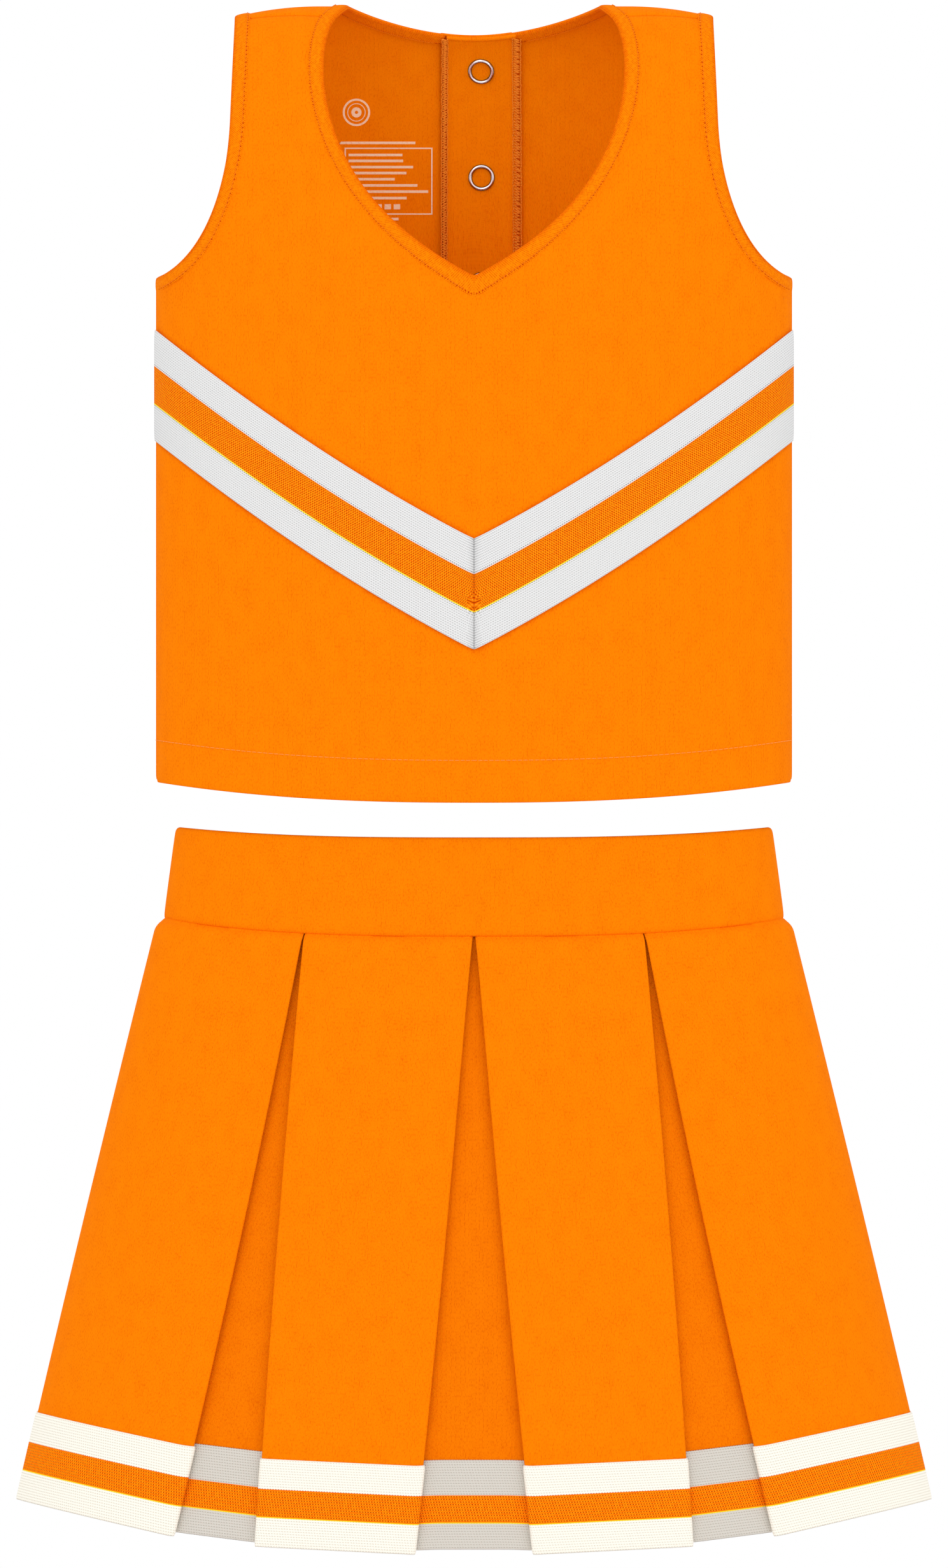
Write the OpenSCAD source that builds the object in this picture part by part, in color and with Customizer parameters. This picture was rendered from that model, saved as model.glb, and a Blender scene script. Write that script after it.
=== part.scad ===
// Two-piece cheer uniform for a small child: a sleeveless V-neck shell top that closes down
// the back with ring snaps, above a box-pleated skirt on an elastic waistband.
// Frame: +Z up, the front faces -Y, the origin is the middle of the waistband.

/* [Top] */
// Width across the chest
chest_w = 234.6; // [225:0.2:245]
// Depth of the chest from front to back
chest_d = 96; // [94:1:110]
// Height of the shoulder ridge
shoulder_z = 325.5; // [315:0.5:335]
// Height of the V point and of the underarm
arch_z = 225.4; // [215:0.2:235]
// Height of the hem at centre front
top_hem_z = 31.3; // [28:0.1:40]
// How much higher the hem is at the side seams
top_hem_rise = 7.5; // [0:0.5:12]
// Lowest point of the back neckline
back_neck_z = 315.4; // [300:0.2:318]
// Thickness of the knit
knit_t = 1.2; // [0.8:0.1:1.5]
// Width of the neck and armhole bindings
binding_w = 6; // [4:0.5:8]
// Thickness of a binding, folded over the edge
binding_t = 2.4; // [1.8:0.2:3]

/* [Back opening] */
// Distance of the fold of the opening flap from the centre
fold_x = 36; // [30:1:40]
// Centre of the snap placket
placket_x = 2.8; // [0:0.2:4]
// Width of each placket band
placket_w = 27; // [24:1:30]
// Number of snaps
snaps = 7; // [3:1:7]
// Height of the top snap
snap_z = 301.9; // [296:0.1:304]
// Distance from snap to snap
snap_pitch = 40; // [36:0.5:41]
// Outer diameter of a snap ring
ring_d = 9.6; // [8:0.1:11]

/* [Chevron] */
// Width of the knit tape, measured straight up and down on the chest
chevron_h = 40; // [30:1:44]
// Middle of the tape at the side seams
chevron_side_z = 185.5; // [170:0.5:195]
// Middle of the tape at centre front
chevron_point_z = 108; // [95:0.5:130]
// Thickness of the knit tape
tape_t = 0.9; // [0.6:0.1:1.2]

/* [Skirt] */
// Half width and half depth at the waist seam
waist_half = [118.4, 46];
// Half width and half depth at the hem
hem_half = [172, 82];
// Height of the waist seam at centre front and its rise at the sides
waist_line = [-19.8, 5.2];
// Height of the hem at centre front and its rise at the sides
hem_line = [-242.2, 17.2];
// Thickness of a pleat panel, with its pressed-back edges
panel_t = 1.4; // [1:0.1:1.6]
// Part of a panel's width that each underlay reaches behind it
tuck = 0.43; // [0.3:0.01:0.46]
// Height of the knit tape at the hem
tape_h = 32; // [28:1:36]

/* [Waistband] */
// Height of the waistband's top edge at centre front and its rise at the sides
band_top = [18.6, 3.8];
// Half width and half depth at the waistband's top edge
band_top_half = [109.4, 42];
// Half width and half depth at the waistband's bottom edge
band_low_half = [114.2, 44.4];
// Thickness of the waistband with its elastic inside
band_t = 3.2; // [2.6:0.1:3.4]

/* [Hidden] */
SECTION = 2.4;
DEG_MM = (shoulder_z - arch_z) * PI / 180;
WALL = 1;
ORANGE = "darkorange";
TRIM = "gold";
STEEL = "silver";
TAPE = "whitesmoke";

// Control points of the right half of the neckline: across, around, and the way into the cloth
NECK = [
    [[0, 0, 0, -1.2], [30, 9.2, 0.5, -0.85], [55.4, 22, 0.9, -0.35], [55.4, 50, 1, 0]],
    [[55.4, 50, 1, 0], [55.6, 57, 1, 0], [54, 66, 1, 0.1], [51.6, 71, 0.95, 0.2]],
    [[51.6, 71, 0.95, 0.2], [49.6, 76, 0.95, 0.2], [46.4, 82, 1, 0.1], [46, 90, 1, 0]]
];
NECK_BACK_X = 46;

// Control points of the right armhole, from the underarm to the shoulder ridge
ARMHOLE = [
    [[chest_w / 2, 0, 0, -1], [107, 2.2, -0.25, -0.9], [92, 10, -0.8, -0.5], [90.2, 36, -1, -0.1]],
    [[90.2, 36, -1, -0.1], [89.5, 48, -1, 0], [88.6, 60, -1, 0], [88.5, 71, -1, 0]],
    [[88.5, 71, -1, 0], [88.5, 77, -1, 0], [88.5, 84, -1, 0], [88.5, 90, -1, 0]]
];

// Angles of the four pleat edges in one quarter of the skirt, at the waist and at the hem
PLEAT_EDGES = [[0.25, 4.9], [28.0, 23.9], [28.7, 36.6], [89.0, 80.7]];

PANELS = [1:8];

function mix(a, b, t) = a + (b - a) * t;
function signed_pow(v, e) = sign(v) * pow(abs(v), e);
function steps(n) = [for (i = [0:n]) i / n];
function bezier(c, t) =
    let (s = 1 - t)
    c[0] * s * s * s + c[1] * 3 * s * s * t + c[2] * 3 * s * t * t + c[3] * t * t * t;

// ---- The top's surface: th runs round the body from centre front to the side seam,
// w runs up the front, over the shoulder at 90 and down the back, in degrees of the shoulder arch

function half_angle(x) = asin(signed_pow(x / (chest_w / 2), SECTION / 2));
function ridge(x) = shoulder_z - 4 * pow(max(0, abs(x) - 57) / 31.5, 2);
function arch_power(x, w) = w <= 90 ? 2 : mix(3.6, 2.2, min(1, abs(x) / 60));
function hem_w(x) = (top_hem_z - arch_z + top_hem_rise * pow(abs(x) / (chest_w / 2), SECTION)) / DEG_MM;

function top_surface(th, w) =
    let (x = chest_w / 2 * signed_pow(sin(th), 2 / SECTION),
         d = chest_d / 2 * signed_pow(cos(th), 2 / SECTION),
         e = 2 / arch_power(x, w))
    w < 0 ? [x, -d, arch_z + w * DEG_MM]
    : w > 180 ? [x, d, arch_z - (w - 180) * DEG_MM]
    : [x, -d * signed_pow(cos(w), e), arch_z + (ridge(x) - arch_z) * signed_pow(sin(w), e)];

function top_normal(th, w) =
    let (across = top_surface(th + 0.4, w) - top_surface(th - 0.4, w),
         along = top_surface(th, w + 0.4) - top_surface(th, w - 0.4),
         n = cross(across, along))
    n / norm(n);

function top_point(th, w, off) = top_surface(th, w) + off * top_normal(th, w);

// Place on the back at height z, as an angle of the shoulder arch
function back_w(x, z) =
    z < arch_z ? 180 + (arch_z - z) / DEG_MM
    : 180 - asin(pow((z - arch_z) / (ridge(x) - arch_z), arch_power(x, 180) / 2));

function degree_mm(w) = norm([DEG_MM * cos(w), 0.82 * sin(w)]);
function inset_point(p, inset) =
    [half_angle(min(chest_w / 2, p[0] + p[2] * inset)), p[1] + p[3] * inset / degree_mm(p[1])];

// Neckline: 0 at the V point, 2 at the shoulder seam, 3 at the ridge, 4 at centre back
function back_neck(t) =
    let (x = NECK_BACK_X * cos(90 * t),
         z = mix(back_neck_z, ridge(x), pow(x / NECK_BACK_X, 1.9) - 0.0001))
    [x, back_w(x, z), cos(90 * t), sin(90 * t)];
function neck(u, inset = 0) =
    let (k = min(2, floor(u)))
    inset_point(u > 3 ? back_neck(u - 3) : bezier(NECK[k], u - k), inset);

// Armhole: 0 and 6 at the underarm, 3 at the ridge
function armhole(u, inset = 0) =
    let (v = u > 3 ? 6 - u : u,
         k = min(2, floor(v)),
         p = inset_point(bezier(ARMHOLE[k], v - k), inset))
    u > 3 ? [p[0], 180 - p[1]] : p;

// Grid of points between two lists of [th, w] pairs, one row for each pair
function rows_between(inner, outer, cols, off) =
    [for (i = [0:len(inner) - 1])
        [for (s = steps(cols)) let (p = mix(inner[i], outer[i], s)) top_point(p[0], p[1], off)]];

// ---- The skirt's surface: angle from centre front towards +X, v from the waist to the hem

function oval(half, angle) =
    [half[0] * signed_pow(sin(angle), 2 / SECTION), -half[1] * signed_pow(cos(angle), 2 / SECTION)];
function oval_normal(half, angle) =
    let (d = oval(half, angle + 0.5) - oval(half, angle - 0.5)) [d[1], -d[0]] / norm(d);
function swept_line(line, angle) = line[0] + line[1] * pow(abs(sin(angle)), 2.4);
function skirt_point(angle, v, off) =
    let (half = mix(waist_half, hem_half, v),
         p = oval(half, angle) + off * oval_normal(half, angle))
    [p[0], p[1], mix(swept_line(waist_line, angle), swept_line(hem_line, angle), v)];
function band_point(angle, v, off) =
    let (half = mix(band_low_half, band_top_half, v),
         p = oval(half, angle) + off * oval_normal(half, angle),
         low = swept_line(waist_line, angle) + 0.6)
    [p[0], p[1], mix(low, swept_line(band_top, angle), v)];

function quarter_edge(k, v) = mix(PLEAT_EDGES[k][0], PLEAT_EDGES[k][1], v);
// Both edges of panel i at v, going round from centre front
function panel_edges(i, v) =
    let (quarter = floor((i - 1) / 2),
         outer = (i % 2 == 0) != (quarter % 2 == 1),
         a = quarter_edge(outer ? 2 : 0, v),
         b = quarter_edge(outer ? 3 : 1, v),
         turn = 180 * floor((quarter + 1) / 2))
    quarter % 2 == 0 ? [turn + a, turn + b] : [turn - b, turn - a];
// Both edges of the underlay before panel i
function underlay_edges(i, v) =
    let (before = panel_edges(i == 1 ? 8 : i - 1, v) - (i == 1 ? [360, 360] : [0, 0]),
         after = panel_edges(i, v))
    [before[1] - tuck * (before[1] - before[0]), after[0] + tuck * (after[1] - after[0])];

// ---- Solids

// Closed solid between two matching grids; with ring set, the last column joins the first
module sheet(outer, inner, ring = false) {
    rows = len(outer);
    cols = len(outer[0]);
    n = rows * cols;
    last = ring ? cols - 1 : cols - 2;
    function at(r, c) = r * cols + c % cols;
    function two(a, b, c, d) = [[a, b, c], [a, c, d]];
    function strip(list) = [for (quad = list) for (f = two(quad[0], quad[1], quad[2], quad[3])) f];
    walls = [for (r = [0:rows - 2]) for (c = [0:last])
        [at(r, c), at(r + 1, c), at(r + 1, c + 1), at(r, c + 1)]];
    low = [for (c = [0:last]) [at(0, c), at(0, c + 1), n + at(0, c + 1), n + at(0, c)]];
    high = [for (c = [0:last])
        [at(rows - 1, c + 1), at(rows - 1, c), n + at(rows - 1, c), n + at(rows - 1, c + 1)]];
    start = [for (r = [0:rows - 2]) [at(r + 1, 0), at(r, 0), n + at(r, 0), n + at(r + 1, 0)]];
    end = [for (r = [0:rows - 2])
        [at(r, cols - 1), at(r + 1, cols - 1), n + at(r + 1, cols - 1), n + at(r, cols - 1)]];
    polyhedron(
        points = concat([for (row = outer) for (p = row) p], [for (row = inner) for (p = row) p]),
        faces = concat(
            strip(walls),
            strip([for (q = walls) [n + q[3], n + q[2], n + q[1], n + q[0]]]),
            strip(low), strip(high), ring ? [] : strip(concat(start, end))
        )
    );
}

module layer(inner, outer, cols, off, thickness) {
    sheet(rows_between(inner, outer, cols, off), rows_between(inner, outer, cols, off - thickness));
}

module both_sides() {
    children();
    mirror([1, 0, 0]) children();
}

// ---- Top

BITE = binding_w - 1;
SIDE = 90;
FOLD_GAP = 0.2;
PLACKET_LEFT = placket_x - placket_w / 2;
PLACKET_RIGHT = placket_x + placket_w / 2;

module front_panel() {
    up = [0, 0.25, 0.5, 0.75, 1, 1.35, 1.7, 2];
    body = [for (s = steps(5)) let (low = hem_w(0)) [0, mix(low, neck(0, BITE)[1], s)]];
    body_side = [for (s = steps(5)) [SIDE, mix(hem_w(chest_w / 2), armhole(0, BITE)[1], s)]];
    straps = [for (u = up) neck(u, BITE)];
    strap_sides = [for (u = up) armhole(u, BITE)];
    color(ORANGE) both_sides() {
        layer(concat(body, [for (i = [1:7]) straps[i]]),
              concat(body_side, [for (i = [1:7]) strap_sides[i]]), 9, 0, knit_t);
    }
}

// Path down the back from the neckline at u, over to x from the centre, and on to the hem
function down_path(u, x) =
    let (start = neck(u, BITE), edge = half_angle(x))
    concat([for (s = [0, 0.25, 0.5, 0.75]) mix(start, [edge, 184], s)],
           [for (s = steps(4)) [edge, mix(184, 180 - hem_w(x), s)]]);
function neck_u(x) = 3 + acos(x / NECK_BACK_X) / 90;

// Right half of the back from the shoulder seam to the hem, in as far as x at the centre
module half_back(x) {
    over = [for (s = steps(4)) neck(mix(2, neck_u(x), s), BITE)];
    arm = [for (u = [2, 2.6, 3.1, 3.6, 4.1, 4.6, 5.1, 5.6]) armhole(u, BITE)];
    side = [for (s = steps(4)) [SIDE, mix(armhole(6, BITE)[1], 180 - hem_w(chest_w / 2), s)]];
    inner = concat([for (i = [0:3]) over[i]], down_path(neck_u(x), x));
    layer(inner, concat(arm, side), 8, 0, knit_t);
}

module back_panel_left() {
    color(ORANGE) mirror([1, 0, 0]) half_back(fold_x + FOLD_GAP);
}

module back_panel_right() {
    color(ORANGE) half_back(PLACKET_RIGHT - 1.5);
}

// Strip of the back between two distances from the centre, from the neckline to the hem
module back_strip(from, to, cols, off, thickness) {
    places = [for (s = steps(cols)) mix(from, to, s)];
    top = [for (x = places) neck(neck_u(abs(x)))[1]];
    rows = steps(12);
    arch = [for (s = rows) [for (i = [0:cols]) [half_angle(places[i]), mix(top[i], 180, s)]]];
    body = [for (s = [0.33, 0.66, 1]) [for (x = places) [half_angle(x), mix(180, 180 - hem_w(x), s)]]];
    grid = concat(arch, body);
    sheet([for (row = grid) [for (p = row) top_point(p[0], p[1], off)]],
          [for (row = grid) [for (p = row) top_point(p[0], p[1], off - thickness)]]);
}

module back_flap_left() {
    centre = -PLACKET_LEFT + 0.6;
    color(ORANGE) mirror([1, 0, 0]) layer(
        down_path(neck_u(centre), centre),
        down_path(neck_u(fold_x - FOLD_GAP), fold_x - FOLD_GAP), 5, 0, knit_t
    );
}

// The band under the opening, on the right half of the back
module under_placket() {
    color(ORANGE) back_strip(PLACKET_LEFT, PLACKET_RIGHT, 6, -0.6, 1.8);
}

// The band that laps over it, on the flap, with a blind hole for each stud
module over_placket() {
    color(ORANGE) difference() {
        back_strip(PLACKET_LEFT - 2, PLACKET_RIGHT - 1.9, 6, 1.6, 1.6);
        at_snaps() translate([0, 0, -WALL]) cylinder(r = 2.8, h = 2, $fn = 20);
    }
}

module neck_strip(list, off = (binding_t - knit_t) / 2) {
    inset = [0, binding_w / 2, binding_w];
    sheet([for (u = list) [for (i = inset) let (p = neck(u, i)) top_point(p[0], p[1], off)]],
          [for (u = list) [for (i = inset) let (p = neck(u, i)) top_point(p[0], p[1], off - binding_t)]]);
}

module neck_binding_front() {
    color(TRIM) both_sides() neck_strip([for (s = steps(14)) 2 * s]);
}

module neck_binding_back_right() {
    color(TRIM) neck_strip([for (s = steps(8)) mix(2.001, neck_u(PLACKET_RIGHT), s)]);
}

module neck_binding_back_left() {
    end = neck_u(fold_x + FOLD_GAP);
    color(TRIM) mirror([1, 0, 0]) neck_strip([for (s = steps(6)) mix(2.001, end, s)]);
}

module neck_binding_flap() {
    start = neck_u(fold_x - 3 * FOLD_GAP);
    color(TRIM) mirror([1, 0, 0]) neck_strip([for (s = steps(4)) mix(start, neck_u(2 - PLACKET_LEFT), s)]);
}

module armhole_binding_right() {
    off = (binding_t - knit_t) / 2;
    stops = [for (i = [0:29]) i / 5];
    inset = [0, binding_w / 2, binding_w];
    color(TRIM) sheet(
        [for (i = inset) [for (u = stops) let (p = armhole(u, i)) top_point(p[0], p[1], off)]],
        [for (i = inset) [for (u = stops) let (p = armhole(u, i)) top_point(p[0], p[1], off - binding_t)]],
        ring = true
    );
}

module armhole_binding_left() {
    mirror([1, 0, 0]) armhole_binding_right();
}

// Overlocked seam allowance that stands inside the top along the side seam
module side_seam_right() {
    levels = [for (s = steps(6)) mix(armhole(0, binding_w + 0.3)[1], hem_w(chest_w / 2) + 0.5, 1 - s)];
    spread = [84, 87, 90];
    color(TRIM) sheet([for (w = levels) [for (th = spread) top_point(th, w, -knit_t)]],
                      [for (w = levels) [for (th = spread) top_point(th, w, -knit_t - 1.2)]]);
}

module side_seam_left() {
    mirror([1, 0, 0]) side_seam_right();
}

module chevron_tape_right() {
    arms = [for (s = steps(12)) 90 * s];
    function middle(th) =
        let (x = chest_w / 2 * pow(sin(th), 2 / SECTION), s = x / (chest_w / 2))
        mix(chevron_point_z, chevron_side_z, 0.86 * s + 0.14 * s * s);
    function tape_w(th, s) = (middle(th) + chevron_h * s - arch_z) / DEG_MM;
    across = [-0.5, -0.16, 0.16, 0.5];
    color(TAPE) sheet([for (s = across) [for (th = arms) top_point(th, tape_w(th, s), tape_t)]],
                      [for (s = across) [for (th = arms) top_point(th, tape_w(th, s), 0)]]);
}

module chevron_tape_left() {
    mirror([1, 0, 0]) chevron_tape_right();
}

// ---- Snaps, each on the axis of the back's surface, with z = 0 on the outside of the knit

module at_snaps() {
    for (i = [0:snaps - 1]) {
        z = snap_z - i * snap_pitch;
        w = back_w(placket_x, z);
        th = half_angle(placket_x);
        lean = asin(top_normal(th, w)[2]);
        translate(top_surface(th, w)) rotate([lean - 90, 0, 0]) children();
    }
}

module ring(low, high) {
    outer = ring_d / 2;
    inner = ring_d * 0.33;
    rotate_extrude($fn = 40) {
        translate([inner, low]) square([outer - inner, (high - low) / 2]);
        translate([(inner + outer) / 2, (low + high) / 2]) intersection() {
            scale([1, (high - low) / (outer - inner)]) circle(d = outer - inner, $fn = 16);
            translate([-outer, 0]) square(2 * outer);
        }
    }
}

module snap_cap_rings() {
    color(STEEL) at_snaps() ring(1.6, 2.6);
}

module snap_sockets() {
    color(STEEL) at_snaps() translate([0, 0, -0.1]) difference() {
        cylinder(d = 8.6, h = 1.1, $fn = 32);
        translate([0, 0, -WALL]) cylinder(r = 2.4, h = 3, $fn = 32);
    }
}

module snap_studs() {
    color(STEEL) at_snaps() {
        translate([0, 0, -0.6]) cylinder(d = 7.6, h = 0.2, $fn = 32);
        translate([0, 0, -0.45]) cylinder(r = 1.9, h = 1.25, $fn = 32);
    }
}

module snap_inner_rings() {
    color(STEEL) at_snaps() mirror([0, 0, 1]) ring(2.4, 3.3);
}

// ---- Waistband

BAND_COLUMNS = [for (i = [0:47]) i * 7.5];

// Ring of cloth between two heights and two depths of the waistband
module band_ring(low, high, off, thickness) {
    sheet([for (v = [low, high]) [for (a = BAND_COLUMNS) band_point(a, v, off)]],
          [for (v = [low, high]) [for (a = BAND_COLUMNS) band_point(a, v, off - thickness)]],
          ring = true);
}

// Casing folded over the elastic, so it is open only at the seam
module waistband() {
    wall = (band_t - 1.4) / 2;
    path = [[0, 0], [0.88, 0], [0.97, -0.3], [1, -0.9]];
    inside = [[0, -wall], [0.9, -wall], [0.9, -wall - 0.1], [0.9, -wall - 0.2]];
    color(ORANGE) {
        sheet([for (p = path) [for (a = BAND_COLUMNS) band_point(a, p[0], p[1])]],
              [for (p = inside) [for (a = BAND_COLUMNS) band_point(a, p[0], p[1])]], ring = true);
        sheet([for (p = [[0, -band_t + wall], [0.9, -band_t + wall], [0.9, -wall - 0.2], [1, -0.9]])
                  [for (a = BAND_COLUMNS) band_point(a, p[0], p[1])]],
              [for (p = [[0, -band_t], [0.88, -band_t], [0.97, -band_t + 0.3], [1, -0.9 - 0.01]])
                  [for (a = BAND_COLUMNS) band_point(a, p[0], p[1])]], ring = true);
    }
}

module waist_elastic() {
    wall = (band_t - 1.4) / 2;
    color(TAPE) band_ring(0.06, 0.86, -wall - 0.1, 1.2);
}

// Overlocked edges of the skirt and casing, turned up inside the waistband
module waist_seam() {
    color(TRIM) band_ring(0.02, 0.2, -band_t, 1.5);
}

// ---- Skirt

// Cloth between two edges of the skirt, from v to the hem
module skirt_layer(i, under, cols, levels, off, thickness, grow = 0) {
    function edges(v) = under ? underlay_edges(i, v) : panel_edges(i, v);
    function grid(o) = [for (v = levels) let (e = edges(v), g = grow * (e[1] - e[0]) / 60)
        [for (s = steps(cols)) skirt_point(mix(e[0] - g, e[1] + g, s), v, o)]];
    sheet(grid(off), grid(off - thickness));
}

PANEL_LEVELS = [1, 0.86, 0.65, 0.43, 0.21, 0];
TAPE_LEVELS = [1.004, 1 - tape_h / 228];
UNDER_OFF = -3.8;

module pleat_panel(i) {
    color(ORANGE) skirt_layer(i, false, 8, PANEL_LEVELS, 0, panel_t);
}

module pleat_underlay(i) {
    color(ORANGE) skirt_layer(i, true, 10, PANEL_LEVELS, UNDER_OFF, knit_t);
}

module panel_tape(i) {
    color(TAPE) skirt_layer(i, false, 8, TAPE_LEVELS, tape_t, tape_t, 0.8);
}

module underlay_tape(i) {
    color(TAPE) skirt_layer(i, true, 10, TAPE_LEVELS, UNDER_OFF + 0.7, 0.7);
}

front_panel();
back_panel_left();
back_flap_left();
back_panel_right();
under_placket();
over_placket();
neck_binding_front();
neck_binding_back_left();
neck_binding_back_right();
neck_binding_flap();
armhole_binding_left();
armhole_binding_right();
side_seam_left();
side_seam_right();
chevron_tape_left();
chevron_tape_right();
snap_cap_rings();
snap_sockets();
snap_studs();
snap_inner_rings();
waistband();
waist_elastic();
waist_seam();
for (i = PANELS) {
    pleat_panel(i);
    pleat_underlay(i);
    panel_tape(i);
    underlay_tape(i);
}
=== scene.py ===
import math
import random
from bisect import bisect_left

import bmesh
import bpy
from mathutils import Matrix, Vector


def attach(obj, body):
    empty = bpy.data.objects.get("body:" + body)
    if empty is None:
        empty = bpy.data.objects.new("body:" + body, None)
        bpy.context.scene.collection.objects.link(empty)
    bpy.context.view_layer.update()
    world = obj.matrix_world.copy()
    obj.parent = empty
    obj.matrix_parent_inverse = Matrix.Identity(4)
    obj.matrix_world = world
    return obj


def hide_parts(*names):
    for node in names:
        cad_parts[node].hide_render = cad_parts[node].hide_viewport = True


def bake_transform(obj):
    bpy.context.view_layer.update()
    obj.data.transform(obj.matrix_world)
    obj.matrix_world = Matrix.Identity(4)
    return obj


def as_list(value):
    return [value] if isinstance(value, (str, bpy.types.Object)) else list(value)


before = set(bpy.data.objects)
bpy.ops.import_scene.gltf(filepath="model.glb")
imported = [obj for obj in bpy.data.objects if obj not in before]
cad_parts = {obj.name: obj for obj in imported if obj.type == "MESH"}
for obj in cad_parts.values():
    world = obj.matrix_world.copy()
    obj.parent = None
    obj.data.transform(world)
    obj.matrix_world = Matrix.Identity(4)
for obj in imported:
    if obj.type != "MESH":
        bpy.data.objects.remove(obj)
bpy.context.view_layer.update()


# ---- Front of the shell top: one piece of cotton interlock knit, from the shoulder seams to the
# hem. Its raw neck and armhole edges go into the bindings, and its hem is folded up inside.

MM = 0.001
HALF_CHEST = 117.3 * MM
HALF_DEPTH = 48 * MM
SHOULDER_Z = 325.5 * MM
UNDERARM_Z = 225.4 * MM
HEM_Z = 31.3 * MM
HEM_RISE = 7.5 * MM
SQUARENESS = 2.4
DEGREE = math.radians(SHOULDER_Z - UNDERARM_Z)
KNIT = 0.9 * MM
SEAM_CLIMB = (73.5, 80.5)
RAW_EDGE = 1.5 * MM
HEM_FOLD = 0.85 * MM
HEM_BEND = HEM_FOLD * math.pi / 2
HEM_UP = 17 * MM


def mix(a, b, t):
    return a + (b - a) * t


def power(value, exponent):
    return math.copysign(abs(value) ** exponent, value)


def sin(degrees):
    return math.sin(math.radians(degrees))


def cos(degrees):
    return math.cos(math.radians(degrees))


def along(t, *stops):
    """Value at t on straight lines between stops of (t, value)."""
    for (t0, a), (t1, b) in zip(stops, stops[1:]):
        if t <= t1:
            return mix(a, b, (t - t0) / (t1 - t0))
    return stops[-1][1]


def oval(half_width, half_depth, turn):
    """Place on an oval with squared-off corners, turn degrees from centre front towards +X."""
    bend = 2 / SQUARENESS
    return Vector((half_width * power(sin(turn), bend), -half_depth * power(cos(turn), bend)))


def turn_at(x):
    return math.degrees(math.asin(power(max(-1, min(1, x / HALF_CHEST)), SQUARENESS / 2)))


def ridge(x):
    return SHOULDER_Z - 4 * MM * (max(0, abs(x) - 57 * MM) / (31.5 * MM)) ** 2


def arch_squareness(x, climb):
    return 2 if climb <= 90 else mix(3.6, 2.2, min(1, abs(x) / (60 * MM)))


def shell(turn, climb):
    """Place on the top's outside. climb is 0 at the underarm in front, 90 on the shoulder ridge
    and 180 at the underarm behind, and runs on below both."""
    x, y = oval(HALF_CHEST, HALF_DEPTH, turn)
    if climb < 0:
        return Vector((x, y, UNDERARM_Z + climb * DEGREE))
    if climb > 180:
        return Vector((x, -y, UNDERARM_Z - (climb - 180) * DEGREE))
    bend = 2 / arch_squareness(x, climb)
    return Vector((x, y * power(cos(climb), bend), mix(UNDERARM_Z, ridge(x), power(sin(climb), bend))))


def on_shell(turn, climb, out=0):
    across = shell(turn + 0.4, climb) - shell(turn - 0.4, climb)
    up = shell(turn, climb + 0.4) - shell(turn, climb - 0.4)
    return shell(turn, climb) + out * across.cross(up).normalized()


def hem_climb(x):
    return (HEM_Z - UNDERARM_Z + HEM_RISE * (abs(x) / HALF_CHEST) ** SQUARENESS) / DEGREE


def curve(points, t):
    """Point of a cubic curve through its first and last control point."""
    a, b, c, d = (Vector(p) for p in points)
    s = 1 - t
    return a * s ** 3 + b * 3 * s * s * t + c * 3 * s * t * t + d * t ** 3


def step_in(point, inset):
    """Turn and climb at a distance into the cloth from an edge point of (x, climb, way in)."""
    x, climb, in_x, in_climb = point
    degree = math.hypot(DEGREE * cos(climb), 0.82 * MM * sin(climb))
    return turn_at(x + in_x * inset), climb + in_climb * inset / degree


NECK = (
    ((0, 0, 0, -1.4), (30 * MM, 9.2, 0.5, -0.85), (55.4 * MM, 22, 0.9, -0.35), (55.4 * MM, 50, 1, 0)),
    ((55.4 * MM, 50, 1, 0), (55.6 * MM, 57, 1, 0), (53.4 * MM, 67.5, 1, 0.1), (50.9 * MM, 73.5, 0.95, 0.2)),
    ((50.9 * MM, 73.5, 0.95, 0.2), (49.2 * MM, 77.5, 0.95, 0.2), (46.4 * MM, 83, 1, 0.1), (46 * MM, 90, 1, 0)),
)
NECK_BACK_X = 46 * MM
NECK_BACK_Z = 315.4 * MM


def back_climb(x, z):
    if z < UNDERARM_Z:
        return 180 + (UNDERARM_Z - z) / DEGREE
    share = min(1, (z - UNDERARM_Z) / (ridge(x) - UNDERARM_Z))
    return 180 - math.degrees(math.asin(share ** (arch_squareness(x, 180) / 2)))


def neck(u, inset=0):
    """Neckline of the right half: u is 0 at the V, 2 at the shoulder seam, 4 at centre back."""
    if u <= 3:
        k = min(2, int(u))
        return step_in(curve(NECK[k], u - k), inset)
    x = NECK_BACK_X * cos(90 * (u - 3))
    z = mix(NECK_BACK_Z, ridge(x), (max(0, x) / NECK_BACK_X) ** 1.9 - 0.0001)
    return step_in((x, back_climb(x, z), cos(90 * (u - 3)), sin(90 * (u - 3))), inset)


def neck_at(x):
    return 3 + math.degrees(math.acos(x / NECK_BACK_X)) / 90


ARMHOLE = (
    ((HALF_CHEST, 0, 0, -1), (107 * MM, 2.2, -0.25, -0.9), (92 * MM, 10, -0.8, -0.5), (90.2 * MM, 36, -1, -0.1)),
    ((90.2 * MM, 36, -1, -0.1), (89.5 * MM, 48, -1, 0), (88.6 * MM, 65, -1, 0), (88.5 * MM, 80.5, -1, 0)),
    ((88.5 * MM, 80.5, -1, 0), (88.5 * MM, 83, -1, 0), (88.5 * MM, 87, -1, 0), (88.5 * MM, 90, -1, 0)),
)


def armhole(u, inset=0):
    """Right armhole: u is 0 and 6 at the underarm, 3 at the shoulder ridge."""
    v = 6 - u if u > 3 else u
    k = min(2, int(v))
    turn, climb = step_in(curve(ARMHOLE[k], v - k), inset)
    return (turn, 180 - climb) if u > 3 else (turn, climb)


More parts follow.
